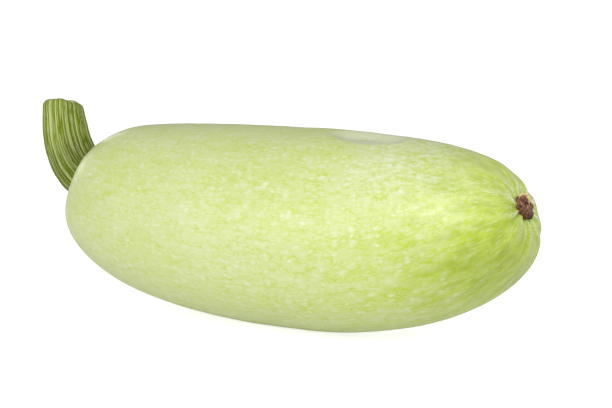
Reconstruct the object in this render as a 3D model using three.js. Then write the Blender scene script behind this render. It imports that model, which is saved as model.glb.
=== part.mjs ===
// A courgette, lying on its belly, with its stem, blossom scar and a dry flake of the flower.
// Millimetres, +Z up. The fruit's axis runs along X: the stem is at -X, the blossom end at +X.
// The origin is on the surface it rests on, under the middle of the whole thing.
import * as THREE from "three";

// Fruit: the middle of each section lies on a gently bent axis, whose height and sway to the far
// side are powers of the place along it, from -1 at the stem end to 1 at the blossom end
const fruitRadius = 45;
const fruitLength = 221;
const axisHeight = { tilt: 2.4, bow: 6.2, turn: 2.4, upturn: 9 };
const axisSway = { bow: 1.1, turn: -1.6 };

// It is widest at one place, and from there each half narrows by a rounded-off curve
const widestAt = 0.1;
const stemHalf = { fullness: 2.19, bluntness: 4.49 };
const blossomHalf = { fullness: 1.83, bluntness: 3.01 };

// Five faint edges run its length, and the skin has one shallow dent on top
const edgeCount = 5;
const edgeHeight = 0.25;
const edgeAngle = 136;
const edgeFadeRadius = 30;
const dent = { depth: 1.7, along: 0.44, around: 101, length: 0.13, spread: 17 };

// The skin sinks a little around the stem and around the scar, which sit on flat seats, and the belly
// is flat where the fruit's weight rests on it
const stemHollow = { depth: 2, width: 15 };
const scarHollow = { depth: 1.6, width: 9 };
const stemSeatRadius = 12.5;
const scarSeatRadius = 7.6;
const footDepth = 0.9;
const ringsOnFruit = 46;
const sidesOnFruit = 48;

// Stem: five-angled, wide where it leaves the fruit, cut off square at the top
const gap = 0.3;
const stemLeaving = 14;
const stemBend = new THREE.Vector3(-19.6, 2.5, 18.3);
const stemEnd = new THREE.Vector3(-23, 6.2, 36.5);
const stemRadii = [11.1, 11.3, 9.7];
const stemAngleCount = 5;
const stemAngleHeight = 0.05;
const stemRimRounding = 1.6;
const ringsOnStem = 17;
const sidesOnStem = 30;

// Blossom scar: a rough corky button with a pit in the middle. Its profile is given as shares of its
// radius and thickness, from the underside's edge to the bottom of the pit
const scarRadius = 5.2;
const scarThickness = 2.6;
const scarProfile = [
  { width: 0.92, height: 0 },
  { width: 1, height: 0.3 },
  { width: 0.96, height: 0.75 },
  { width: 0.78, height: 1 },
  { width: 0.45, height: 0.9 },
  { width: 0.22, height: 0.65 },
];
const scarWobble = 0.25;
const scarLobes = 6;
const sidesOnScar = 36;

// Dry flake of the flower, standing along part of the scar's edge
const flakeInnerRadius = 5.8;
const flakeOuterRadius = 7.1;
const flakeFrom = 12;
const flakeTo = 118;
const flakeHeight = 2.3;
const flakeEndFullness = 0.3;
const flakeTaper = 0.6;
const stepsOnFlake = 12;

const worldUp = new THREE.Vector3(0, 0, 1);

// The fruit's own directions at a place on its axis: along it, to its far side, and to its upper side
function frameAt(along) {
  const half = fruitLength / 2;
  const { tilt, bow, turn, upturn } = axisHeight;
  const height = tilt * along + bow * along ** 2 + turn * along ** 3 + upturn * along ** 4;
  const climb = tilt + 2 * bow * along + 3 * turn * along ** 2 + 4 * upturn * along ** 3;
  const sway = axisSway.bow * along ** 2 + axisSway.turn * along ** 3;
  const drift = 2 * axisSway.bow * along + 3 * axisSway.turn * along ** 2;
  const forward = new THREE.Vector3(half, drift, climb).normalize();
  const side = new THREE.Vector3().crossVectors(worldUp, forward).normalize();
  const upper = new THREE.Vector3().crossVectors(forward, side);
  return { centre: new THREE.Vector3(half * along, sway, height), forward, side, upper };
}

function halfAt(along) {
  return along < widestAt ? { ...stemHalf, reach: -1 - widestAt } : { ...blossomHalf, reach: 1 - widestAt };
}

function sectionRadius(along) {
  const half = halfAt(along);
  const share = Math.min(1, (along - widestAt) / half.reach);
  return fruitRadius * (1 - share ** half.fullness) ** (1 / half.bluntness);
}

// The place towards one end, -1 or 1, where a section has shrunk to this radius
function alongForRadius(end, radius) {
  const half = halfAt(end);
  const share = (1 - (radius / fruitRadius) ** half.bluntness) ** (1 / half.fullness);
  return widestAt + half.reach * share;
}

function bell(distance) {
  return Math.exp(-distance * distance);
}

function degreesApart(a, b) {
  return ((((a - b) % 360) + 540) % 360) - 180;
}

function dentAt(along, degrees) {
  const lengthwise = bell((along - dent.along) / dent.length);
  return dent.depth * lengthwise * bell(degreesApart(degrees, dent.around) / dent.spread);
}

// A point of the skin: along is -1 at the stem end and 1 at the blossom end
function skinPoint(along, degrees) {
  const { centre, forward, side, upper } = frameAt(along);
  const radius = sectionRadius(along);
  const angle = THREE.MathUtils.degToRad(degrees);
  const edges = Math.cos(edgeCount * (angle - THREE.MathUtils.degToRad(edgeAngle)));
  const edge = edgeHeight * edges * Math.min(1, radius / edgeFadeRadius);
  const reach = radius + edge - dentAt(along, degrees);
  const hollow = along < 0 ? stemHollow : scarHollow;
  const sink = -Math.sign(along) * hollow.depth * bell(radius / hollow.width);
  return centre
    .addScaledVector(side, reach * Math.cos(angle))
    .addScaledVector(upper, reach * Math.sin(angle))
    .addScaledVector(forward, sink);
}

// Places for the rings, at even steps along the skin from the stem's seat to the scar's
function ringPlaces(count) {
  const halfLength = fruitLength / 2;
  const from = alongForRadius(-1, stemSeatRadius);
  const to = alongForRadius(1, scarSeatRadius);
  const fine = 4000;
  const walked = [0];
  const places = [from];
  for (let i = 1; i <= fine; i += 1) {
    const turn = (Math.PI * i) / fine;
    const along = from + ((to - from) * (1 - Math.cos(turn))) / 2;
    const step = Math.hypot(
      (along - places[i - 1]) * halfLength,
      sectionRadius(along) - sectionRadius(places[i - 1]),
    );
    walked.push(walked[i - 1] + step);
    places.push(along);
  }
  const even = [];
  let i = 0;
  for (let k = 0; k < count; k += 1) {
    const goal = (walked[fine] * k) / (count - 1);
    while (i < fine && walked[i] < goal) {
      i += 1;
    }
    even.push(places[i]);
  }
  return even;
}

// A closed solid from rings of points, each turning the same way, with a point closing each end
function solidFromRings(rings, firstTip, lastTip) {
  const sides = rings[0].length;
  const points = [...rings.flat(), firstTip, lastTip];
  const first = points.length - 2;
  const last = points.length - 1;
  const faces = [];
  for (let k = 0; k < sides; k += 1) {
    const next = (k + 1) % sides;
    faces.push(first, next, k);
    const base = (rings.length - 1) * sides;
    faces.push(last, base + k, base + next);
    for (let j = 0; j + 1 < rings.length; j += 1) {
      const low = j * sides;
      const high = low + sides;
      faces.push(low + k, low + next, high + k);
      faces.push(low + next, high + next, high + k);
    }
  }
  const geometry = new THREE.BufferGeometry().setFromPoints(points);
  geometry.setIndex(faces);
  geometry.computeVertexNormals();
  return geometry;
}

function meanOf(points) {
  const sum = new THREE.Vector3();
  points.forEach((point) => sum.add(point));
  return sum.divideScalar(points.length);
}

// Degrees from the far side, up over the top and round under the belly
function anglesAround(count) {
  return Array.from({ length: count }, (_, k) => (360 * k) / count);
}

function fruitRings() {
  const around = anglesAround(sidesOnFruit);
  return ringPlaces(ringsOnFruit).map((along) => around.map((degrees) => skinPoint(along, degrees)));
}

function restFlat(rings) {
  const points = rings.flat();
  const floor = Math.min(...points.map((point) => point.z)) + footDepth;
  points.forEach((point) => {
    point.z = Math.max(point.z, floor);
  });
}

function makeStem(seat) {
  const start = seat.centre.clone().addScaledVector(seat.forward, -gap);
  const leave = start.clone().addScaledVector(seat.forward, -stemLeaving);
  const path = new THREE.CubicBezierCurve3(
    start,
    leave,
    start.clone().add(stemBend),
    start.clone().add(stemEnd),
  );
  const rings = [];
  for (let j = 0; j < ringsOnStem; j += 1) {
    const share = j / (ringsOnStem - 1);
    rings.push(stemRing(path, share, stemRadiusAt(share)));
  }
  const rim = rings.length - 1;
  rings[rim] = stemRing(path, 1, stemRadiusAt(1) - stemRimRounding);
  const rimStart = 1 - stemRimRounding / path.getLength();
  rings.splice(rim, 0, stemRing(path, rimStart, stemRadiusAt(1)));
  return solidFromRings(rings, meanOf(rings[0]), meanOf(rings[rings.length - 1]));
}

function stemRadiusAt(share) {
  const [base, middle, top] = stemRadii;
  return base * (1 - share) ** 2 + 2 * middle * share * (1 - share) + top * share ** 2;
}

// One ring of the stem, square to its path, with its five rounded angles
function stemRing(path, share, radius) {
  const forward = path.getTangentAt(share);
  const side = new THREE.Vector3(0, 1, 0).addScaledVector(forward, -forward.y).normalize();
  const upper = new THREE.Vector3().crossVectors(forward, side);
  const centre = path.getPointAt(share);
  return anglesAround(sidesOnStem).map((degrees) => {
    const angle = THREE.MathUtils.degToRad(degrees);
    const reach = radius * (1 + stemAngleHeight * Math.cos(stemAngleCount * angle));
    return centre
      .clone()
      .addScaledVector(side, reach * Math.cos(angle))
      .addScaledVector(upper, reach * Math.sin(angle));
  });
}

function scarRing(seat, radius, height) {
  return anglesAround(sidesOnScar).map((degrees) => {
    const angle = THREE.MathUtils.degToRad(degrees);
    const wobble = 1 + (scarWobble / scarRadius) * Math.cos(scarLobes * angle);
    return seat.centre
      .clone()
      .addScaledVector(seat.side, radius * wobble * Math.cos(angle))
      .addScaledVector(seat.upper, radius * wobble * Math.sin(angle))
      .addScaledVector(seat.forward, height);
  });
}

function makeScar(seat) {
  const rings = scarProfile.map(({ width, height }) =>
    scarRing(seat, scarRadius * width, gap + scarThickness * height),
  );
  return solidFromRings(rings, meanOf(rings[0]), meanOf(rings[rings.length - 1]));
}

// Cross-sections stand around the scar's edge and shrink towards the flake's two ends
function makeFlake(seat) {
  const rings = [];
  for (let j = 0; j <= stepsOnFlake; j += 1) {
    const share = j / stepsOnFlake;
    const angle = THREE.MathUtils.degToRad(flakeFrom + (flakeTo - flakeFrom) * share);
    const middle = Math.sin(Math.PI * share) ** flakeTaper;
    const fullness = flakeEndFullness + (1 - flakeEndFullness) * middle;
    const outer = flakeInnerRadius + (flakeOuterRadius - flakeInnerRadius) * fullness;
    const top = gap + flakeHeight * fullness;
    const radial = new THREE.Vector3()
      .addScaledVector(seat.side, Math.cos(angle))
      .addScaledVector(seat.upper, Math.sin(angle));
    const corners = [
      [flakeInnerRadius, top],
      [outer, gap + 0.5 * flakeHeight * fullness],
      [outer, gap],
      [flakeInnerRadius, gap],
    ];
    rings.push(
      corners.map(([reach, height]) =>
        seat.centre.clone().addScaledVector(radial, reach).addScaledVector(seat.forward, height),
      ),
    );
  }
  return solidFromRings(rings, meanOf(rings[0]), meanOf(rings[rings.length - 1]));
}

// The flat seat inside the last ring at one end of the fruit
function seatAt(ring, along) {
  return { ...frameAt(along), centre: meanOf(ring) };
}

function makeFruit(rings, stemSeat, scarSeat) {
  return solidFromRings(rings, stemSeat.centre, scarSeat.centre);
}

function piece(name, geometry, look) {
  const mesh = new THREE.Mesh(geometry, new THREE.MeshStandardMaterial(look));
  mesh.name = name;
  return mesh;
}

const rings = fruitRings();
restFlat(rings);
const stemSeat = seatAt(rings[0], -1);
const scarSeat = seatAt(rings[rings.length - 1], 1);

const skinLook = { color: 0xcddf94, roughness: 0.42, metalness: 0 };
const stemLook = { color: 0x7d9a2e, roughness: 0.6, metalness: 0 };
const corkLook = { color: 0x6e4a36, roughness: 0.9, metalness: 0 };
const flakeLook = { color: 0xd9bd7e, roughness: 0.85, metalness: 0 };

const courgette = new THREE.Group();
courgette.add(piece("fruit", makeFruit(rings, stemSeat, scarSeat), skinLook));
courgette.add(piece("stem", makeStem(stemSeat), stemLook));
courgette.add(piece("blossom_scar", makeScar(scarSeat), corkLook));
courgette.add(piece("petal_remnant", makeFlake(scarSeat), flakeLook));

const box = new THREE.Box3().setFromObject(courgette);
const middle = box.getCenter(new THREE.Vector3());
courgette.position.set(-middle.x, -middle.y, -box.min.z);

export default courgette;
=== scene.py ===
import math

import bmesh
import bpy
from mathutils import Matrix, Vector


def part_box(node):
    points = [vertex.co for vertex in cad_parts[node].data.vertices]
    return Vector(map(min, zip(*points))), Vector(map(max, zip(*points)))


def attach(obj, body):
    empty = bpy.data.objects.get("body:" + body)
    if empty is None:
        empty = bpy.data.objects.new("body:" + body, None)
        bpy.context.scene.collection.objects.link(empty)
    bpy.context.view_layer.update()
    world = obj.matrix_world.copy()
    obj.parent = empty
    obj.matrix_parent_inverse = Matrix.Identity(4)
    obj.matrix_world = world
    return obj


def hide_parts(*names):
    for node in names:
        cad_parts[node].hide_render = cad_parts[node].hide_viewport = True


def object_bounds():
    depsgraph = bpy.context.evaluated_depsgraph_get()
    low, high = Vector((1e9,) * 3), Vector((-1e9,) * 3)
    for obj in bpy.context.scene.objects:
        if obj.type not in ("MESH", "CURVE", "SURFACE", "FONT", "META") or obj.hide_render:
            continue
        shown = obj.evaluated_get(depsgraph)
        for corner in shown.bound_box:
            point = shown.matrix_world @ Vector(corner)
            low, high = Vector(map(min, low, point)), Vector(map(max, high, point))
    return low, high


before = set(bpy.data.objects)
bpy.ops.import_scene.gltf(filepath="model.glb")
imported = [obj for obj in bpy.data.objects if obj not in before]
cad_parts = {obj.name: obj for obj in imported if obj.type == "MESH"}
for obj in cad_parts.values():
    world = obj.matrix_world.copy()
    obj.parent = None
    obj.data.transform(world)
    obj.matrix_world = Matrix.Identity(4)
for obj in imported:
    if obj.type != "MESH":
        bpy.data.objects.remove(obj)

mm = 0.001
fullTurn = 2 * math.pi
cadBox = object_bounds()


def toLinear(red, green, blue):
    # a colour as a painting program gives it, 0 to 255, made linear for the shaders
    shares = [value / 255 for value in (red, green, blue)]
    return tuple(s / 12.92 if s <= 0.04045 else ((s + 0.055) / 1.055) ** 2.4 for s in shares) + (1,)


# One sheet is one node tree. Its node method makes any node; wires carry sockets between them.

class Sheet:
    def __init__(self, tree):
        self.tree = tree

    def node(self, kind, settings=None, values=None, output=0):
        made = self.tree.nodes.new(kind)
        for name, value in (settings or {}).items():
            if name == "stops":
                setStops(made.color_ramp, value)
            else:
                setattr(made, name, value)
        for key, value in (values or {}).items():
            self.feed(findSocket(made.inputs, key), value)
        return Wire(self, findSocket(made.outputs, output))

    def feed(self, socket, value):
        if isinstance(value, Wire):
            self.tree.links.new(value.socket, socket)
        else:
            socket.default_value = value

    def vector(self, x, y, z):
        return self.node("ShaderNodeCombineXYZ", values={"X": x, "Y": y, "Z": z})

    def stored(self, name):
        # a vector that the geometry tree kept on the mesh
        return self.node("ShaderNodeAttribute", {"attribute_name": name}, output="Vector")

    def noise(self, place, scale, detail=2.0, distortion=0.0, output="Fac"):
        return self.node("ShaderNodeTexNoise", {}, {
            "Vector": place, "Scale": scale, "Detail": detail, "Distortion": distortion}, output)

    def mixColour(self, factor, first, second):
        values = {"Factor_Float": factor, "A_Color": first, "B_Color": second}
        return self.node("ShaderNodeMix", {"data_type": "RGBA", "clamp_factor": True}, values, "Result_Color")

    def bump(self, strength, distance, height):
        return self.node("ShaderNodeBump", {}, {"Strength": strength, "Distance": distance, "Height": height})


class Wire:
    def __init__(self, sheet, socket):
        self.sheet = sheet
        self.socket = socket

    def math(self, operation, *others):
        return self.sheet.node("ShaderNodeMath", {"operation": operation}, dict(enumerate((self,) + others)))

    def __add__(self, other):
        return self.math("ADD", other)

    def __sub__(self, other):
        return self.math("SUBTRACT", other)

    def __rsub__(self, other):
        return self.sheet.node("ShaderNodeMath", {"operation": "SUBTRACT"}, {0: other, 1: self})

    def __mul__(self, other):
        return self.math("MULTIPLY", other)

    def __truediv__(self, other):
        return self.math("DIVIDE", other)

    def __rtruediv__(self, other):
        return self.sheet.node("ShaderNodeMath", {"operation": "DIVIDE"}, {0: other, 1: self})

    def __pow__(self, other):
        return self.math("POWER", other)

    def __neg__(self):
        return self * -1

    __radd__ = __add__
    __rmul__ = __mul__

    def other(self, name):
        # another output of the same node
        return Wire(self.sheet, findSocket(self.socket.node.outputs, name))

    def part(self, letter):
        return self.sheet.node("ShaderNodeSeparateXYZ", values={0: self}, output=letter)

    def vectorMath(self, operation, *others, output="Vector"):
        values = dict(enumerate((self,) + others))
        return self.sheet.node("ShaderNodeVectorMath", {"operation": operation}, values, output)

    def plus(self, other):
        return self.vectorMath("ADD", other)

    def scaled(self, size):
        return self.sheet.node("ShaderNodeVectorMath", {"operation": "SCALE"}, {0: self, "Scale": size})

    def stretched(self, x, y, z):
        return self.vectorMath("MULTIPLY", (x, y, z))

    def unit(self):
        return self.vectorMath("NORMALIZE")

    def length(self):
        return self.vectorMath("LENGTH", output="Value")

    def cos(self):
        return self.math("COSINE")

    def sin(self):
        return self.math("SINE")

    def atLeast(self, value):
        return self.math("MAXIMUM", value)

    def atMost(self, value):
        return self.math("MINIMUM", value)

    def bell(self):
        return (self * self * -1).math("EXPONENT")

    def smooth(self, low, high):
        # 0 up to low, 1 from high, a soft slope between; low above high turns it round
        rise = {"interpolation_type": "SMOOTHSTEP"}
        return self.sheet.node("ShaderNodeMapRange", rise, {0: self, 1: low, 2: high, 3: 0.0, 4: 1.0})

    def between(self, low, high):
        return self.sheet.node("ShaderNodeMapRange", {}, {0: self, 1: 0.0, 2: 1.0, 3: low, 4: high})


def findSocket(sockets, key):
    if isinstance(key, int):
        return sockets[key]
    for socket in sockets:
        if socket.enabled and key in (socket.identifier, socket.name):
            return socket
    raise KeyError(key)


def setStops(ramp, stops):
    while len(ramp.elements) < len(stops):
        ramp.elements.new(1.0)
    for element, (position, colour) in zip(ramp.elements, stops):
        element.position = position
        element.color = colour


# Geometry trees: every size in a piece's dictionary becomes a named input of its tree

def newGrowth(name, sizes):
    tree = bpy.data.node_groups.new(name, "GeometryNodeTree")
    tree.interface.new_socket("Geometry", in_out="OUTPUT", socket_type="NodeSocketGeometry")
    for label, value in sizes.items():
        kind = "NodeSocketVector" if isinstance(value, Vector) else "NodeSocketFloat"
        tree.interface.new_socket(label, in_out="INPUT", socket_type=kind)
    sheet = Sheet(tree)
    inputs = tree.nodes.new("NodeGroupInput")
    return sheet, {label: Wire(sheet, inputs.outputs[label]) for label in sizes}


def unrolledGrid(sheet, rings, sides):
    # a flat sheet of quads; lengthwise and around run from 0 to 1 over it
    grid = sheet.node("GeometryNodeMeshGrid", values={
        "Size X": 1.0, "Size Y": 1.0, "Vertices X": rings, "Vertices Y": sides + 1})
    place = sheet.node("GeometryNodeInputPosition")
    return grid, place.part("X") + 0.5, 0.5 - place.part("Y")   # around runs backwards, so faces look outward


def store(sheet, mesh, name, vector):
    settings = {"data_type": "FLOAT_VECTOR", "domain": "POINT"}
    values = {"Geometry": mesh, "Name": name, "Value": vector}
    return sheet.node("GeometryNodeStoreNamedAttribute", settings, values)


def closeSkin(sheet, mesh, places):
    # rolls the grid up, joins its seam and its poles, and gives a smooth skin
    rolled = sheet.node("GeometryNodeSetPosition", values={"Geometry": mesh, "Position": places})
    joined = sheet.node("GeometryNodeMergeByDistance", values={"Geometry": rolled, "Distance": 0.001 * mm})
    return sheet.node("GeometryNodeSetShadeSmooth", values={"Geometry": joined})


def finishGrowth(sheet, mesh, material):
    real = sheet.node("GeometryNodeRealizeInstances", values={"Geometry": mesh})
    dressed = sheet.node("GeometryNodeSetMaterial", values={"Geometry": real, "Material": material})
    output = sheet.tree.nodes.new("NodeGroupOutput")
    sheet.feed(output.inputs[0], dressed)


def grow(name, sheet, sizes, material):
    # runs the tree once and keeps its result as a plain mesh
    piece = bpy.data.objects.new(name, bpy.data.meshes.new(name))
    bpy.context.scene.collection.objects.link(piece)
    modifier = piece.modifiers.new("growth", "NODES")
    modifier.node_group = sheet.tree
    for item in sheet.tree.interface.items_tree:
        if item.in_out == "INPUT" and item.name in sizes:
            value = sizes[item.name]
            modifier[item.identifier] = value if isinstance(value, Vector) else float(value)
    graph = bpy.context.evaluated_depsgraph_get()
    mesh = bpy.data.meshes.new_from_object(piece.evaluated_get(graph))
    piece.modifiers.clear()
    piece.data = mesh
    mesh.name = name
    if material.name not in [m.name for m in mesh.materials if m]:
        mesh.materials.append(material)
    print(name, "has", len(mesh.polygons), "faces")
    return piece


def lowHigh(piece):
    corners = [vertex.co for vertex in piece.data.vertices]
    low = Vector([min(c[i] for c in corners) for i in range(3)])
    high = Vector([max(c[i] for c in corners) for i in range(3)])
    return low, high


def newMaterial(name, settings):
    material = bpy.data.materials.new(name)
    material.use_nodes = True
    sheet = Sheet(material.node_tree)
    shader = material.node_tree.nodes["Principled BSDF"]
    for key, value in settings.items():
        shader.inputs[key].default_value = value
    return material, sheet, shader


def dress(sheet, shader, colour, roughness, normal=None):
    sheet.feed(shader.inputs["Base Color"], colour)
    sheet.feed(shader.inputs["Roughness"], roughness)
    if normal:
        sheet.feed(shader.inputs["Normal"], normal)


def finishPiece(piece, node):
    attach(piece, "root")
    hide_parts(node)


# Angles are in degrees, azimuth from the near side and positive towards the blossom end
studio = {
    "azimuth": 29.36, "elevation": 11.16, "distance": 0.7521, "lens": 100.0, "sensor": 36.0,
    "aim": (19.98 * mm, -0.2 * mm, 8.97 * mm),   # from the middle of the courgette's box
    "lamps": {   # azimuth and elevation of each, its distance, its width and height, its power
        "key": (20, 34, 0.9, (0.4, 0.4), 4.3),
        "fill": (-20, 11, 1.0, (0.6, 0.6), 2.9),
        "side": (95, 26, 1.0, (0.4, 0.4), 0.8),
        "topRight": (80, 55, 0.45, (0.2, 0.2), 0.39),
        "backLeft": (245, 12, 1.2, (0.8, 0.3), 1.6),
        "backRight": (150, 13, 1.2, (0.6, 0.3), 2.0),
    },
    "skyLight": 0.32, "skySeen": 1.0, "floorLight": 0.14, "floorSeen": 0.75,
    "floorPaint": 0.78, "floorRoughness": 0.35, "floorReach": 6.0,
}


def fromAround(azimuth, elevation):
    a, e = math.radians(azimuth), math.radians(elevation)
    return Vector((math.sin(a) * math.cos(e), -math.cos(a) * math.cos(e), math.sin(e)))


def lookAt(thing, target, place):
    thing.location = place
    thing.rotation_mode = "QUATERNION"
    thing.rotation_quaternion = (target - place).to_track_quat("-Z", "Y")


def addCamera(middle):
    camera = bpy.data.objects.new("camera", bpy.data.cameras.new("camera"))
    camera.data.lens = studio["lens"]
    camera.data.sensor_width = studio["sensor"]
    camera.data.clip_start = 0.01
    camera.data.clip_end = 20
    bpy.context.scene.collection.objects.link(camera)
    aim = middle + Vector(studio["aim"])
    lookAt(camera, aim, aim + fromAround(studio["azimuth"], studio["elevation"]) * studio["distance"])
    bpy.context.scene.camera = camera


def addLamp(name, azimuth, elevation, distance, size, power, target):
    lamp = bpy.data.objects.new(name, bpy.data.lights.new(name, "AREA"))
    lamp.data.shape = "RECTANGLE"
    lamp.data.size, lamp.data.size_y = size
    lamp.data.energy = power
    bpy.context.scene.collection.objects.link(lamp)
    lookAt(lamp, target, target + fromAround(azimuth, elevation) * distance)


def glowColour(sheet, light, seen):
    # a white that lights the fruit with one strength and is seen by the camera with another
    atCamera = sheet.node("ShaderNodeLightPath", output="Is Camera Ray")
    return sheet.mixColour(atCamera, (light, light, light, 1), (seen, seen, seen, 1))


def addFloor():
    paint, reach = studio["floorPaint"], studio["floorReach"]
    material, sheet, shader = newMaterial("paleFloor", {
        "Roughness": studio["floorRoughness"], "Base Color": (paint, paint, paint, 1), "Emission Strength": 1.0})
    sheet.feed(shader.inputs["Emission Color"], glowColour(sheet, studio["floorLight"], studio["floorSeen"]))
    mesh = bpy.data.meshes.new("floor")
    corners = [(-reach, -reach, 0), (reach, -reach, 0), (reach, reach, 0), (-reach, reach, 0)]
    mesh.from_pydata(corners, [], [(0, 1, 2, 3)])
    mesh.materials.append(material)
    floor = bpy.data.objects.new("floor", mesh)
    bpy.context.scene.collection.objects.link(floor)


def addSky():
    world = bpy.data.worlds.new("sky")
    world.use_nodes = True
    sheet = Sheet(world.node_tree)
    background = world.node_tree.nodes["Background"]
    sheet.feed(background.inputs["Color"], glowColour(sheet, studio["skyLight"], studio["skySeen"]))
    background.inputs["Strength"].default_value = 1.0
    bpy.context.scene.world = world


def addStudio():
    bpy.context.scene.view_settings.view_transform = "Standard"
    middle = (cadBox[0] + cadBox[1]) / 2
    addCamera(middle)
    for name, settings in studio["lamps"].items():
        addLamp(name, *settings, middle)
    addSky()
    addFloor()
    print("studio is set")


# Places along the fruit run from -1 at the stem end to 1 at the blossom end, as shares of half its length
fruit = {
    "rings": 381, "sides": 250,
    "sizes": {
        "radius": 45 * mm, "length": 221 * mm,
        "tilt": 2.4 * mm, "bow": 6.2 * mm, "turn": 2.4 * mm, "upturn": 9 * mm,   # how the axis rises
        "sway": 1.1 * mm, "swayTurn": -1.6 * mm,   # and how it goes to the far side
        "widestAt": 0.1, "stemFullness": 2.19, "stemBluntness": 4.49,
        "blossomFullness": 1.83, "blossomBluntness": 3.01,
        "edgeHeight": 0.25 * mm, "edgeAngle": math.radians(136), "edgeFade": 30 * mm,
        "dentDepth": 3.2 * mm, "dentAt": 0.39, "dentAround": math.radians(93),   # an oval hollow on the back
        "dentLength": 0.19, "dentWidth": math.radians(14.5), "dentLip": 0.4,
        "trailDepth": 0.6 * mm, "trailAt": 0.15, "trailLength": 0.2,   # a shallow stretch that leads to it
        "stemHollow": 2 * mm, "stemHollowWidth": 15 * mm,
        "scarHollow": 1.6 * mm, "scarHollowWidth": 9 * mm,
        "puckerDepth": 0.42 * mm, "puckerFrom": 6 * mm, "puckerTo": 30 * mm, "puckerCount": 10,
        "waviness": 0.5 * mm, "waveScale": 28.0, "lumpHeight": 0.1 * mm, "lumpScale": 120.0, "lumpFade": 10 * mm,
        "restDepth": 0.9 * mm,
    },
    "colours": {
        "pale": toLinear(205, 212, 166), "leaf": toLinear(195, 206, 128), "lime": toLinear(180, 200, 44),
        # the grey-white of the dent is a painted reflection of the bright studio, not the skin's own colour
        "fleck": toLinear(216, 222, 196), "olive": toLinear(150, 170, 28), "dentSheen": toLinear(198, 201, 184),
        "speck": toLinear(92, 122, 60),
    },
    "scales": {   # how many of each there are in a millimetre of skin
        "lace": 0.46, "fineLace": 0.95, "dashes": 0.8, "flecks": 0.46, "spots": 0.24, "patches": 0.055,
        "streaks": 0.75, "mottle": 0.6, "threads": 0.9, "limePatches": 0.15, "olive": 0.2, "specks": 0.8,
        "grain": 2.2,
    },
    "strengths": {   # how far each goes towards its colour
        "lace": 0.48, "fineLace": 0.4, "dashes": 0.43, "limePatches": 0.4, "oliveShadeBand": 0.6, "flecks": 0.6,
        "spots": 0.5, "paleShoulderAndHighlight": 0.6, "threads": 0.42, "puckers": 0.6, "specks": 0.7,
    },
}


def fruitMeridian(sheet, size):
    # half the fruit's outline: x along the axis, y the radius, from the stem end to the blossom end
    line = sheet.node("GeometryNodeCurvePrimitiveLine", values={"End": (1, 0, 0)})
    fine = sheet.node("GeometryNodeResampleCurve", values={"Curve": line, "Count": 1501})
    factor = sheet.node("GeometryNodeSplineParameter", output="Factor")
    blossom = factor.math("GREATER_THAN", 0.5)
    width = (factor * math.pi).sin().atLeast(0.0)
    fullness = size["stemFullness"] + (size["blossomFullness"] - size["stemFullness"]) * blossom
    bluntness = size["stemBluntness"] + (size["blossomBluntness"] - size["stemBluntness"]) * blossom
    share = (1 - width ** bluntness).atLeast(0.0) ** (1 / fullness)
    reach = (blossom * 2 - 1) - size["widestAt"]
    along = size["widestAt"] + reach * share
    outline = sheet.vector(along * size["length"] * 0.5, width * size["radius"], 0.0)
    return sheet.node("GeometryNodeSetPosition", values={"Geometry": fine, "Position": outline})


def sampleCurve(sheet, curve, factor):
    settings = {"mode": "FACTOR", "use_all_curves": True}
    return sheet.node("GeometryNodeSampleCurve", settings, {"Curves": curve, "Factor": factor}, "Position")


def fruitAxis(sheet, size, along):
    # the axis's height and sway at a place on it, and the fruit's own three directions there
    square = along * along
    cube = square * along
    height = size["tilt"] * along + size["bow"] * square + size["turn"] * cube + size["upturn"] * square * square
    climb = size["tilt"] + size["bow"] * along * 2 + size["turn"] * square * 3 + size["upturn"] * cube * 4
    sway = size["sway"] * square + size["swayTurn"] * cube
    drift = size["sway"] * along * 2 + size["swayTurn"] * square * 3
    half = size["length"] * 0.5
    forward = sheet.vector(half, drift, climb).unit()
    side = sheet.vector(0.0, 0.0, 1.0).vectorMath("CROSS_PRODUCT", forward).unit()
    upper = forward.vectorMath("CROSS_PRODUCT", side)
    return sheet.vector(half * along, sway, height), forward, side, upper


def fruitDent(sheet, size, along, angle):
    # how deep the skin sinks at the dent, and where a grey sheen is painted into the skin's colour: in the dent and
    # well down its far side
    lengthways = (along - size["dentAt"]) / size["dentLength"]
    sideways = (angle - size["dentAround"]) / size["dentWidth"]
    hollow = sheet.vector(lengthways, sideways, 0.0).length().smooth(1.05, size["dentLip"])
    trail = ((along - size["trailAt"]) / size["trailLength"]).bell() * sideways.bell()
    backward = sideways.atMost(0.0) * 0.4 + sideways.atLeast(0.0)
    dentSheen = sheet.vector(lengthways, backward, 0.0).length().smooth(1.25, 0.55)
    return size["dentDepth"] * hollow + size["trailDepth"] * trail, dentSheen


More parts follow.
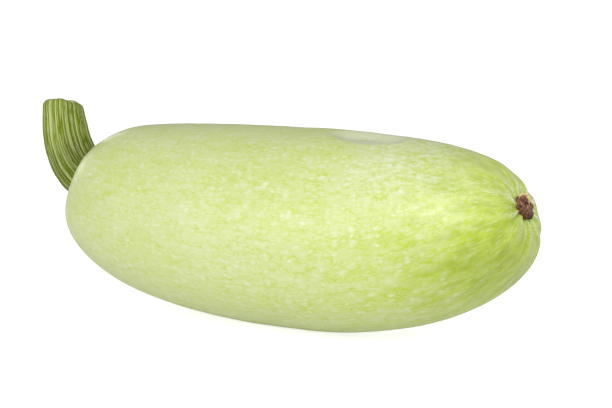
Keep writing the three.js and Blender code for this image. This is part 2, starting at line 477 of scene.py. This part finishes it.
def fruitGrowth(material):
    sheet, size = newGrowth("fruitGrowth", fruit["sizes"])
    grid, lengthwise, around = unrolledGrid(sheet, fruit["rings"], fruit["sides"])
    meridian = fruitMeridian(sheet, size)
    outline = sampleCurve(sheet, meridian, lengthwise)
    skinLength = sheet.node("GeometryNodeCurveLength", values={0: meridian})
    radius = outline.part("Y").atLeast(0.0)
    along = outline.part("X") / (size["length"] * 0.5)
    slope = outline.other("Tangent")
    centre, forward, side, upper = fruitAxis(sheet, size, along)
    angle = around * fullTurn
    across = side.scaled(angle.cos()).plus(upper.scaled(angle.sin()))

    # where a spot is on the unrolled skin: along it, and on a circle that narrows less than the fruit does
    girth = size["radius"] * 0.35 + radius * 0.65
    skinPlace = sheet.vector((lengthwise - 0.5) * skinLength, angle.cos() * girth, angle.sin() * girth)

    edges = size["edgeHeight"] * ((angle - size["edgeAngle"]) * 5).cos()
    dent, dentSheen = fruitDent(sheet, size, along, angle)
    wobble = sheet.noise(skinPlace, 60.0, 1.0)
    ripple = (angle * size["puckerCount"] + (wobble - 0.5) * 5).cos()
    atStem = along.math("LESS_THAN", 0.0)
    nearScar = (radius + atStem).smooth(size["puckerTo"], size["puckerFrom"] * 1.6)   # never on the stem's half
    pucker = ripple * nearScar * radius.smooth(0.0, size["puckerFrom"])
    waves = sheet.noise(skinPlace, size["waveScale"], 1.0)
    lumps = sheet.noise(skinPlace, size["lumpScale"])
    slow = edges + (waves - 0.5) * size["waviness"] * 2
    raised = slow * radius.smooth(0.0, size["edgeFade"]) - dent + pucker * size["puckerDepth"]
    raised = raised + (lumps - 0.5) * size["lumpHeight"] * 2 * radius.smooth(0.0, size["lumpFade"])

    stemSink = size["stemHollow"] * (radius / size["stemHollowWidth"]).bell() * atStem
    scarSink = size["scarHollow"] * (radius / size["scarHollowWidth"]).bell() * (1 - atStem)
    outward = across.scaled(slope.part("X")).plus(forward.scaled(-slope.part("Y")))
    places = centre.plus(across.scaled(radius)).plus(outward.scaled(raised))
    places = places.plus(forward.scaled(stemSink - scarSink))

    placed = store(sheet, grid, "skinPlace", skinPlace)
    placed = store(sheet, placed, "skinFacts", sheet.vector(along, radius / size["radius"], pucker * 0.5 + 0.5))
    placed = store(sheet, placed, "skinDent", sheet.vector(dentSheen, 0.0, 0.0))
    skin = closeSkin(sheet, placed, places)
    finishGrowth(sheet, restOnBelly(sheet, skin, size["restDepth"]), material)
    return sheet


def restOnBelly(sheet, skin, depth):
    # the lowest stretch of the belly gives way and lies flat
    position = sheet.node("GeometryNodeInputPosition")
    lowest = sheet.node("GeometryNodeAttributeStatistic", {"data_type": "FLOAT"},
                        {"Geometry": skin, "Attribute": position.part("Z")}, "Min")
    height = position.part("Z").math("SMOOTH_MAX", lowest + depth, 0.1 * mm)
    pressed = sheet.vector(position.part("X"), position.part("Y"), height)
    return sheet.node("GeometryNodeSetPosition", values={"Geometry": skin, "Position": pressed})


def skinMaterial():
    colours, scales, strengths = fruit["colours"], fruit["scales"], fruit["strengths"]
    material, sheet, shader = newMaterial("courgetteSkin", {
        "Coat Weight": 0.4, "Coat Roughness": 0.32, "Coat IOR": 1.45, "Specular IOR Level": 0.45,
        "Subsurface Weight": 0.06, "Subsurface Scale": 0.003, "Subsurface Radius": (1.0, 1.0, 0.4)})
    place = sheet.stored("skinPlace").scaled(1000.0)   # in millimetres
    height = place.part("Z")
    facts = sheet.stored("skinFacts")
    along, girth, pucker = facts.part("X"), facts.part("Y"), facts.part("Z")

    def cloud(lengthwise, scale, detail=2.0, distortion=0.0, output="Fac"):
        return sheet.noise(place.stretched(lengthwise, 1, 1), scale, detail, distortion, output)

    def cells(feature, lengthwise, scale, warp, output="Distance"):
        push = cloud(lengthwise, scale * 0.9, output="Color").vectorMath("SUBTRACT", (0.5, 0.5, 0.5))
        warped = place.stretched(lengthwise, 1, 1).plus(push.scaled(warp / scale))
        return sheet.node("ShaderNodeTexVoronoi", {"feature": feature}, {"Vector": warped, "Scale": scale}, output)

    # thin lime lines, most of them lengthwise, that come and go round paler cells
    lace = cells("DISTANCE_TO_EDGE", 0.42, scales["lace"], 1.0).smooth(0.15, 0.0)
    lace = lace * cloud(0.5, 0.25).smooth(0.32, 0.6)
    fineLace = cells("DISTANCE_TO_EDGE", 0.36, scales["fineLace"], 1.1).smooth(0.22, 0.0)
    fineLace = fineLace * cloud(0.4, 0.4).smooth(0.34, 0.6)
    wave = (cloud(0.2, scales["dashes"], 2.0, 0.4) - 0.5).math("ABSOLUTE")
    dashes = wave.smooth(0.04, 0.0) * cloud(0.3, 0.4).smooth(0.36, 0.6)

    # soft whitish flecks and spots in some of the cells
    chance = cells("F1", 0.6, scales["flecks"], 0.5, "Color").part("X")
    flecks = cells("F1", 0.6, scales["flecks"], 0.5).smooth(0.6, 0.0) * chance.smooth(0.3, 1.0)
    spotChance = cells("F1", 0.75, scales["spots"], 0.4, "Color").part("Y")
    spots = cells("F1", 0.75, scales["spots"], 0.4).smooth(0.5, 0.0) * spotChance.smooth(0.5, 1.0)
    patches = cloud(0.4, scales["patches"], 3.0)
    streaks = cloud(0.09, scales["streaks"], 3.0, 0.15)
    mottle = cloud(0.5, scales["mottle"], 3.0)

    # fine pale threads that run out from the scar
    spoke = place.stretched(0, 1, 1).unit().scaled(30.0).plus(place.stretched(0.22, 0, 0))
    threads = sheet.noise(spoke, scales["threads"], 3.0).smooth(0.54, 0.72)

    towardBlossom = along.smooth(0.5, 0.98)
    nearBlossom = girth.smooth(0.95, 0.65) * along.smooth(0.0, 0.5)
    bellyGreenAndShade = height.smooth(18.0, -12.0)   # the belly side is greener and darker towards the blossom: partly its own colour, partly painted shade
    contrast = along.smooth(-0.4, 0.7).between(0.84, 1.25)   # the pattern is faint at the stem's end

    leafy = 0.36 + (patches - 0.5) * 1.3 + (streaks - 0.5) * 0.9 + (mottle - 0.5) * 1.2
    leafy = leafy + along.smooth(-0.8, 0.4) * 0.1 + towardBlossom * (0.2 + bellyGreenAndShade * 0.2)
    colour = sheet.mixColour(leafy, colours["pale"], colours["leaf"])

    limePatches = cloud(0.3, scales["limePatches"], 4.0, 0.4).smooth(0.48, 0.64)
    limePatches = limePatches * along.smooth(0.2, 0.7) * (0.5 + bellyGreenAndShade * 0.5)
    lines = lace * strengths["lace"] + fineLace * strengths["fineLace"] + dashes * strengths["dashes"]
    limeShare = lines * (contrast * 0.85 + towardBlossom * 0.2) + limePatches * strengths["limePatches"]
    limeShare = limeShare + (1 - pucker) * girth.smooth(0.75, 0.2) * towardBlossom * 0.4
    limeShare = limeShare + nearBlossom * (0.1 + bellyGreenAndShade * 0.15)
    colour = sheet.mixColour(limeShare, colour, colours["lime"])

    # painted shade: a darker olive band low on the blossom half, partly the skin's own colour too
    oliveShadeBand = girth.smooth(0.35, 0.6) * ((height + 16) / 10).bell() * strengths["oliveShadeBand"]
    oliveShare = cloud(0.4, scales["olive"], 4.0, 0.3).smooth(0.4, 0.62) * nearBlossom * (0.4 + bellyGreenAndShade * 0.1)
    colour = sheet.mixColour(oliveShare + nearBlossom * oliveShadeBand, colour, colours["olive"])

    # the upper shoulder towards the blossom is paler: partly its own colour, partly a painted highlight
    paleShoulderAndHighlight = height.smooth(12.0, 30.0) * along.smooth(0.3, 0.55) * along.smooth(0.95, 0.75)
    paleShare = (flecks * strengths["flecks"] + spots * strengths["spots"]) * (contrast - towardBlossom * 1.1)
    paleShare = paleShare + paleShoulderAndHighlight * mottle.smooth(0.35, 0.7) * strengths["paleShoulderAndHighlight"]
    paleShare = paleShare + threads * towardBlossom * girth.smooth(1.0, 0.5) * strengths["threads"]
    ridges = pucker.smooth(0.7, 1.0) * girth.smooth(0.6, 0.15) * towardBlossom * mottle
    colour = sheet.mixColour(paleShare + ridges * strengths["puckers"], colour, colours["fleck"])

    # painted reflection: a grey sheen laid over the dent and well down its far side
    dentSheenShare = sheet.stored("skinDent").part("X")
    colour = sheet.mixColour(dentSheenShare * (0.35 + mottle * 0.5), colour, colours["dentSheen"])
    specks = cells("F1", 0.7, scales["specks"], 0.5).smooth(0.36, 0.16)
    specks = specks * girth.smooth(0.42, 0.2) * along.smooth(0.85, 0.95)
    colour = sheet.mixColour(specks * strengths["specks"], colour, colours["speck"])

    grain = cloud(0.7, scales["grain"], 3.0)
    bump = sheet.bump(0.3, 0.3 * mm, streaks * 0.5 - lace * 0.25 + flecks * 0.15 + grain * 0.2)
    dress(sheet, shader, colour, grain.between(0.33, 0.5), bump)
    return material


def makeFruit():
    material = skinMaterial()
    piece = grow("courgette_skin", fruitGrowth(material), fruit["sizes"], material)
    low, high = lowHigh(piece)
    cadLow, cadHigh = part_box("fruit")
    shift = (cadLow + cadHigh) / 2 - (low + high) / 2
    shift.z = -low.z
    piece.data.transform(Matrix.Translation(shift))
    finishPiece(piece, "fruit")
    return shift


def fruitEnd(sign, seatRadius, half, hollow):
    # the place and direction where the stem (sign -1) or the blossom scar (sign 1) sits
    size = fruit["sizes"]
    share = (1 - (seatRadius / size["radius"]) ** size[half + "Bluntness"]) ** (1 / size[half + "Fullness"])
    t = size["widestAt"] + (sign - size["widestAt"]) * share
    reach = size["length"] / 2
    height = size["tilt"] * t + size["bow"] * t ** 2 + size["turn"] * t ** 3 + size["upturn"] * t ** 4
    climb = size["tilt"] + 2 * size["bow"] * t + 3 * size["turn"] * t ** 2 + 4 * size["upturn"] * t ** 3
    sway = size["sway"] * t ** 2 + size["swayTurn"] * t ** 3
    drift = 2 * size["sway"] * t + 3 * size["swayTurn"] * t ** 2
    forward = Vector((reach, drift, climb)).normalized() * sign
    sink = size[hollow] * math.exp(-(seatRadius / size[hollow + "Width"]) ** 2)
    return Vector((reach * t, sway, height)) - forward * sink, forward


stem = {
    "rings": 300, "sides": 220,
    "seatRadius": 12.5 * mm, "gap": 0.3 * mm,   # where it sits on the fruit's end, and how far off the skin
    "leaving": 14 * mm,   # how far it runs straight out of the fruit before it bends up
    "bend": Vector((-20.8, 2.8, 17.4)) * mm, "end": Vector((-23, 6.2, 37.6)) * mm,
    "sizes": {
        "baseRadius": 11.4 * mm, "midRadius": 11.7 * mm, "topRadius": 9.8 * mm,
        "angleHeight": 0.05, "ribHeight": 0.35 * mm, "ribScale": 420.0, "swellHeight": 0.6 * mm, "swellScale": 90.0,
        "flareHeight": 0.24, "flareLength": 0.05, "sinkIn": 5.0 * mm,
        "slant": 2.6 * mm, "slantAround": math.radians(-72), "cutHollow": 0.8 * mm,
        "rimRounding": 3.0 * mm, "rimUnevenness": 0.4 * mm,
    },
    "colours": {
        "rind": toLinear(110, 130, 0), "shade": toLinear(78, 92, 0), "stripe": toLinear(204, 210, 150),
        "cut": toLinear(214, 214, 150), "cutEdge": toLinear(150, 160, 84), "cutDots": toLinear(168, 150, 96),
    },
    "lineCount": 26, "fineLineCount": 55,   # pale lines round the stem
}


def stemGrowth(material, sizes):
    sheet, size = newGrowth("stemGrowth", sizes)
    path = sheet.node("GeometryNodeCurvePrimitiveBezierSegment", {"mode": "POSITION"}, {
        "Resolution": 96, "Start": size["start"], "Start Handle": size["startHandle"],
        "End Handle": size["endHandle"], "End": size["end"]})
    grid, lengthwise, around = unrolledGrid(sheet, stem["rings"], stem["sides"])

    # four fifths of the rings climb the path, then the rim rounds over, and the last tenth closes the cut face
    share = (lengthwise / 0.8).atMost(1.0)
    rim = ((lengthwise - 0.8) / 0.1).atMost(1.0).atLeast(0.0)
    cut = ((lengthwise - 0.9) / 0.1).atLeast(0.0)
    pathLength = sheet.node("GeometryNodeCurveLength", values={0: path})
    centre = sampleCurve(sheet, path, share * (1 - size["rimRounding"] / pathLength))
    forward = centre.other("Tangent").unit()
    side = sheet.vector(0.0, 1.0, 0.0).plus(forward.scaled(-forward.part("Y"))).unit()
    upper = forward.vectorMath("CROSS_PRODUCT", side)
    angle = around * fullTurn
    wide, tall = angle.cos(), angle.sin()
    stemPlace = sheet.vector(share * pathLength, wide * size["midRadius"], tall * size["midRadius"])

    rest = 1 - share
    radius = size["baseRadius"] * rest * rest + size["midRadius"] * share * rest * 2
    radius = radius + size["topRadius"] * share * share
    angles = (angle * 5 + 0.6).cos()
    radius = radius * (1 + angles * size["angleHeight"] * (1 - cut) * (1 - share ** 4 * 0.6))
    flare = (share / size["flareLength"]).bell() * (1 + angles * 0.5) * size["flareHeight"]
    ribs = sheet.noise(stemPlace.stretched(0.12, 1, 1), size["ribScale"])
    swell = sheet.noise(stemPlace, size["swellScale"], 1.0)
    ribs = (ribs - 0.5) * 2 * size["ribHeight"] + (swell - 0.5) * 2 * size["swellHeight"]
    turnIn = 1 - (1 - rim * rim).math("SQRT")
    reach = (radius * (1 + flare) + ribs * (1 - cut) - turnIn * size["rimRounding"]) * (1 - cut)
    reach = reach * (lengthwise * 250).atMost(1.0)   # the foot, inside the fruit, closes to a point

    uneven = sheet.noise(sheet.vector(wide, tall, 0.0), 1.6, 3.0)
    rise = rim * size["rimRounding"] + (uneven - 0.5) * 2 * size["rimUnevenness"] * rim * (1 - cut)
    rise = rise - (cut * 2).atMost(1.0) * size["cutHollow"] - (1 - lengthwise * 30).atLeast(0.0) * size["sinkIn"]
    lower = (angle - size["slantAround"]).cos().smooth(0.1, 1.2) * size["slant"] * (share ** 8) * (1 - cut)
    places = centre.plus(side.scaled(wide * reach)).plus(upper.scaled(tall * reach))
    places = places.plus(forward.scaled(rise - lower))

    placed = store(sheet, grid, "stemPlace", stemPlace)
    onCut = cut.atLeast(rim - 0.999)   # just above 0 from the rim's last ring
    placed = store(sheet, placed, "stemFacts", sheet.vector(share, onCut, 0.0))
    finishGrowth(sheet, closeSkin(sheet, placed, places), material)
    return sheet


def stemMaterial():
    colours = stem["colours"]
    material, sheet, shader = newMaterial("stemRind", {"Specular IOR Level": 0.1})
    place = sheet.stored("stemPlace").scaled(1000.0)   # in millimetres
    facts = sheet.stored("stemFacts")
    share, cut = facts.part("X"), facts.part("Y")

    def drawn(lengthwise, scale, detail=2.0):
        return sheet.noise(place.stretched(lengthwise, 1, 1), scale, detail)

    # thin pale lines run up the stem, a broader set and a finer one, and both wander and break off
    turn = place.part("Z").math("ARCTAN2", place.part("Y"))
    wander = (drawn(0.02, 0.28, 1.0) - 0.5) * 11
    broken = drawn(0.25, 0.6)
    lines = (turn * stem["lineCount"] + wander).cos().smooth(0.5, 0.98) * drawn(0.12, 0.5).smooth(0.34, 0.52)
    fineLines = (turn * stem["fineLineCount"] - wander).cos().smooth(0.3, 0.9) * broken.smooth(0.38, 0.54)
    dashes = (drawn(0.02, 1.7, 0.0) + (broken - 0.5) * 0.3).smooth(0.63, 0.67)
    stripes = lines * 0.75 + fineLines * 0.6 + dashes * 0.3

    innerBend = place.part("Z").smooth(-1.0, -9.0)
    tissue = drawn(0.5, 1.6, 3.0)
    darker = innerBend * 0.4 + share.smooth(0.7, 0.3) * 0.75
    darker = darker + (tissue - 0.5) * 1.2 + (drawn(0.05, 0.5, 1.0) - 0.5) * 0.8
    rind = sheet.mixColour(darker, colours["rind"], colours["shade"])
    paleness = stripes * (0.78 - innerBend * 0.2) * (1 - share.smooth(0.7, 0.25) * 0.35)
    colour = sheet.mixColour(paleness, rind, colours["stripe"])

    # the cut face: pale flesh with darker dots, and a greener ring just inside the rim
    dots = sheet.node("ShaderNodeTexVoronoi", {}, {
        "Vector": sheet.node("ShaderNodeTexCoord", output="Object"), "Scale": 900.0}, "Distance")
    flesh = sheet.mixColour(dots.smooth(0.5, 0.2) * 0.5, colours["cut"], colours["cutDots"])
    flesh = sheet.mixColour(cut.smooth(0.25, 0.02), flesh, colours["cutEdge"])
    colour = sheet.mixColour(cut.smooth(0.0, 0.02), colour, flesh)
    bump = sheet.bump(0.6, 0.4 * mm, stripes * 0.5 + tissue * 0.4)
    dress(sheet, shader, colour, tissue.between(0.4, 0.62), bump)
    return material


def makeStem(shift):
    seat, outward = fruitEnd(-1, stem["seatRadius"], "stem", "stemHollow")
    start = seat + shift + outward * stem["gap"]
    sizes = dict(stem["sizes"], start=start, startHandle=start + outward * stem["leaving"],
                 endHandle=start + stem["bend"], end=start + stem["end"])
    material = stemMaterial()
    finishPiece(grow("courgette_stem", stemGrowth(material, sizes), sizes, material), "stem")


scar = {
    "rings": 130, "sides": 220,
    "seatRadius": 7.6 * mm, "gap": 0.3 * mm,
    "sizes": {
        "radius": 5.1 * mm, "height": 2.2 * mm, "depth": 1.0 * mm, "lobeHeight": 0.06, "lobeCount": 6,
        "pitDepth": 2.6 * mm, "pitRadius": 1.4 * mm, "pitSide": 0.6 * mm, "pitUpper": 0.6 * mm,
        "chunkHeight": 0.9 * mm, "chunkScale": 560.0, "grainHeight": 0.5 * mm, "grainScale": 1500.0,
        "crumbDensity": 0.8e6,   # crumbs on a square metre of cork
    },
    "crumbLeast": (0.2 * mm, 0.2 * mm, 0.2 * mm), "crumbMost": (0.6 * mm, 0.45 * mm, 0.4 * mm),
    "seeds": {"places": 4, "turns": 5, "sizes": 6},
    "cork": [(0.2, toLinear(44, 25, 20)), (0.42, toLinear(100, 64, 48)), (0.62, toLinear(134, 92, 70)),
             (0.85, toLinear(180, 138, 106))],
    "scarShade": toLinear(40, 22, 14),   # painted shade: in the pit and towards the lower edge
}


def scarGrowth(material, sizes):
    sheet, size = newGrowth("scarGrowth", sizes)
    grid, lengthwise, around = unrolledGrid(sheet, scar["rings"], scar["sides"])
    angle = around * fullTurn
    wide, tall = angle.cos(), angle.sin()
    turn = (lengthwise - 0.5) * math.pi
    level = turn.sin()
    girth = turn.cos().atLeast(0.0) ** 0.5
    lobes = (angle * size["lobeCount"] + 0.8).cos() * size["lobeHeight"]
    radius = size["radius"] * girth * (1 + lobes)
    above = level.atLeast(0.0) ** 0.7 * size["height"]
    below = (-level).atLeast(0.0) * size["depth"]
    pitAway = sheet.vector(wide * radius - size["pitSide"], tall * radius - size["pitUpper"], 0.0).length()
    pit = (pitAway / size["pitRadius"]).bell() * size["pitDepth"] * level.math("GREATER_THAN", 0.0)
    reach = size["side"].scaled(wide * radius).plus(size["upper"].scaled(tall * radius))
    places = size["start"].plus(reach).plus(size["forward"].scaled(above - below - pit))
    skin = closeSkin(sheet, grid, places)

    # lumps and grain push the surface out, and crumbs are strewn over it
    position = sheet.node("GeometryNodeInputPosition")
    chunks = sheet.node("ShaderNodeTexVoronoi", {"feature": "F1"}, {
        "Vector": position, "Scale": size["chunkScale"]}, "Distance")
    grain = sheet.noise(position, size["grainScale"], 3.0)
    lift = (0.45 - chunks) * size["chunkHeight"] + (grain - 0.5) * size["grainHeight"]
    normal = sheet.node("GeometryNodeInputNormal")
    rough = sheet.node("GeometryNodeSetPosition", values={"Geometry": skin, "Offset": normal.scaled(lift)})

    points = sheet.node("GeometryNodeDistributePointsOnFaces", {"distribute_method": "RANDOM"}, {
        "Mesh": rough, "Density": size["crumbDensity"], "Seed": scar["seeds"]["places"]}, "Points")
    crumb = sheet.node("GeometryNodeMeshIcoSphere", values={"Radius": 1.0, "Subdivisions": 1})
    turned = sheet.node("FunctionNodeRandomValue", {"data_type": "FLOAT_VECTOR"}, {
        0: (0.0, 0.0, 0.0), 1: (6.28, 6.28, 6.28), "Seed": scar["seeds"]["turns"]})
    scale = sheet.node("FunctionNodeRandomValue", {"data_type": "FLOAT_VECTOR"}, {
        0: scar["crumbLeast"], 1: scar["crumbMost"], "Seed": scar["seeds"]["sizes"]})
    crumbs = sheet.node("GeometryNodeInstanceOnPoints", values={
        "Points": points, "Instance": crumb, "Rotation": turned, "Scale": scale})
    joined = sheet.tree.nodes.new("GeometryNodeJoinGeometry")
    sheet.feed(joined.inputs[0], rough)
    sheet.feed(joined.inputs[0], crumbs)
    finishGrowth(sheet, Wire(sheet, joined.outputs[0]), material)
    return sheet


def scarMaterial(pitPlace):
    material, sheet, shader = newMaterial("corkyScar", {"Specular IOR Level": 0.3})
    place = sheet.node("ShaderNodeTexCoord", output="Object").scaled(1000.0)   # in millimetres
    mottle = sheet.node("ShaderNodeTexNoise", {}, {"Vector": place, "Scale": 0.8, "Detail": 4.0, "Roughness": 0.7})
    cells = sheet.node("ShaderNodeTexVoronoi", {"feature": "F1"}, {"Vector": place, "Scale": 0.9}, "Distance")
    cork = sheet.node("ShaderNodeValToRGB", {"stops": scar["cork"]}, {"Fac": mottle * 1.5 - cells * 0.4}, "Color")
    # painted shade: darker in the pit and towards the scar's lower edge
    fromPit = place.vectorMath("SUBTRACT", tuple(pitPlace / mm)).length()
    below = place.part("Z").smooth(pitPlace.z / mm, pitPlace.z / mm - 5)
    scarShade = fromPit.smooth(2.3, 1.2) * 0.95 + below * 0.6
    bump = sheet.bump(0.6, 0.3 * mm, mottle)
    dress(sheet, shader, sheet.mixColour(scarShade, cork, scar["scarShade"]), mottle.between(0.65, 0.95), bump)
    return material


# The dry flake of the flower that follows the scar's rim
petal = {
    "rings": 160, "sides": 40,
    "sizes": {
        "innerRadius": 4.9 * mm, "lean": 0.6 * mm, "thickness": 0.4 * mm, "height": 1.9 * mm,
        "raggedness": 1.2 * mm, "creaseDepth": 0.8 * mm, "from": math.radians(4), "to": math.radians(124),
    },
    "straw": [(0.25, toLinear(150, 104, 60)), (0.45, toLinear(214, 180, 118)), (0.7, toLinear(240, 220, 168))],
    "tip": toLinear(222, 176, 60),
}


def petalGrowth(material, sizes):
    # thick in its middle and ragged along its top
    sheet, size = newGrowth("petalGrowth", sizes)
    grid, lengthwise, around = unrolledGrid(sheet, petal["rings"], petal["sides"])
    angle = size["from"] + (size["to"] - size["from"]) * lengthwise
    loop = -around * fullTurn   # it runs round the flake's own section
    taper = (1 - ((lengthwise * 2 - 1).math("ABSOLUTE") ** 5)).atLeast(0.0) ** 0.5
    widening = 0.55 + lengthwise * 0.45
    up = loop.sin()
    place = sheet.vector(lengthwise * 0.011, loop.cos() * 0.0007, up * 0.0007)
    torn = sheet.noise(place, 700.0, 3.0)
    crease = sheet.noise(place, 320.0)
    height = (size["height"] * widening + (torn - 0.5) * size["raggedness"] * up.atLeast(0.0) * 2) * taper
    radius = size["innerRadius"] + loop.cos() * size["thickness"] * taper
    radius = radius + up * size["lean"] * taper + (crease - 0.5) * 2 * size["creaseDepth"] * taper
    reach = size["side"].scaled(angle.cos() * radius).plus(size["upper"].scaled(angle.sin() * radius))
    places = size["start"].plus(reach).plus(size["forward"].scaled(height * (up + 0.55)))
    placed = store(sheet, grid, "petalFacts", sheet.vector(lengthwise, up * 0.5 + 0.5, 0.0))
    finishGrowth(sheet, closeSkin(sheet, placed, places), material)
    return sheet


def petalMaterial():
    material, sheet, shader = newMaterial("dryPetal", {
        "Specular IOR Level": 0.3, "Subsurface Weight": 0.15, "Subsurface Scale": 0.001})
    facts = sheet.stored("petalFacts")
    place = sheet.node("ShaderNodeTexCoord", output="Object").scaled(1000.0)   # in millimetres
    fibre = sheet.noise(place, 1.4, 3.0)
    straw = sheet.node("ShaderNodeValToRGB", {"stops": petal["straw"]}, {
        "Fac": fibre * 0.8 + facts.part("Y") * 0.3}, "Color")
    colour = sheet.mixColour(facts.part("X").smooth(0.86, 0.97) * 0.7, straw, petal["tip"])
    dress(sheet, shader, colour, fibre.between(0.55, 0.8))
    return material


# Bent, tapering blades of dry petal caught in the pit. Each goes from one place to another, both given
# across the scar, up it and above its foot, and has a width and a thickness at its middle; millimetres.
slivers = {
    "rings": 12, "sides": 8, "bow": 0.35, "waver": 0.08,
    "blades": [((1.9, 2.9, 2.5), (1.7, -0.5, 1.5), 0.95, 0.3), ((-1.2, 0.9, 2.3), (-1.1, -0.9, 2.0), 0.8, 0.35),
               ((0.7, -0.8, 1.6), (-0.5, 0.6, 1.9), 0.4, 0.2)],
}


def makeSlivers(material, start, forward, side, upper):
    corners, faces = [], []
    rings, sides = slivers["rings"], slivers["sides"]
    for low, high, width, thickness in slivers["blades"]:
        first, last = (start + side * p[0] * mm + upper * p[1] * mm + forward * p[2] * mm for p in (low, high))
        run = (last - first).normalized()
        across = run.cross(forward).normalized()
        out = across.cross(run)
        base = len(corners)
        for ring in range(rings + 1):
            share = ring / rings
            taper = math.sin(math.pi * (0.04 + 0.92 * share)) ** 0.6
            middle = first.lerp(last, share) + out * math.sin(math.pi * share) * slivers["bow"] * mm
            middle = middle + across * math.sin(share * 9) * slivers["waver"] * mm
            for step in range(sides):
                turn = fullTurn * step / sides
                flat = across * math.cos(turn) * width * 0.5 * taper * mm
                corners.append(middle + flat + out * math.sin(turn) * thickness * 0.5 * taper * mm)
        for ring in range(rings):
            for step in range(sides):
                after = (step + 1) % sides
                here, there = base + ring * sides, base + (ring + 1) * sides
                faces.append((here + step, here + after, there + after, there + step))
        faces.append(tuple(base + step for step in reversed(range(sides))))
        faces.append(tuple(base + rings * sides + step for step in range(sides)))
    mesh = bpy.data.meshes.new("pit_slivers")
    mesh.from_pydata(corners, [], faces)
    mesh.update()
    bm = bmesh.new()
    bm.from_mesh(mesh)
    bmesh.ops.recalc_face_normals(bm, faces=bm.faces)
    bm.to_mesh(mesh)
    bm.free()
    mesh.shade_smooth()
    mesh.materials.append(material)
    piece = bpy.data.objects.new("pit_slivers", mesh)
    bpy.context.scene.collection.objects.link(piece)
    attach(piece, "root")
    print("pit_slivers has", len(mesh.polygons), "faces")


def makeScar(shift):
    seat, outward = fruitEnd(1, scar["seatRadius"], "blossom", "scarHollow")
    start = seat + shift + outward * scar["gap"]
    side = Vector((0, 0, 1)).cross(outward).normalized()
    upper = outward.cross(side)
    directions = {"start": start, "forward": outward, "side": side, "upper": upper}

    sizes = dict(scar["sizes"], **directions)
    material = scarMaterial(start + side * sizes["pitSide"] + upper * sizes["pitUpper"])
    finishPiece(grow("blossom_scar_cork", scarGrowth(material, sizes), sizes, material), "blossom_scar")

    sizes = dict(petal["sizes"], **directions)
    material = petalMaterial()
    finishPiece(grow("petal_flake", petalGrowth(material, sizes), sizes, material), "petal_remnant")
    makeSlivers(material, **directions)


addStudio()
shift = makeFruit()
print("fruit moved by", [round(v / mm, 2) for v in shift], "mm")
makeStem(shift)
makeScar(shift)
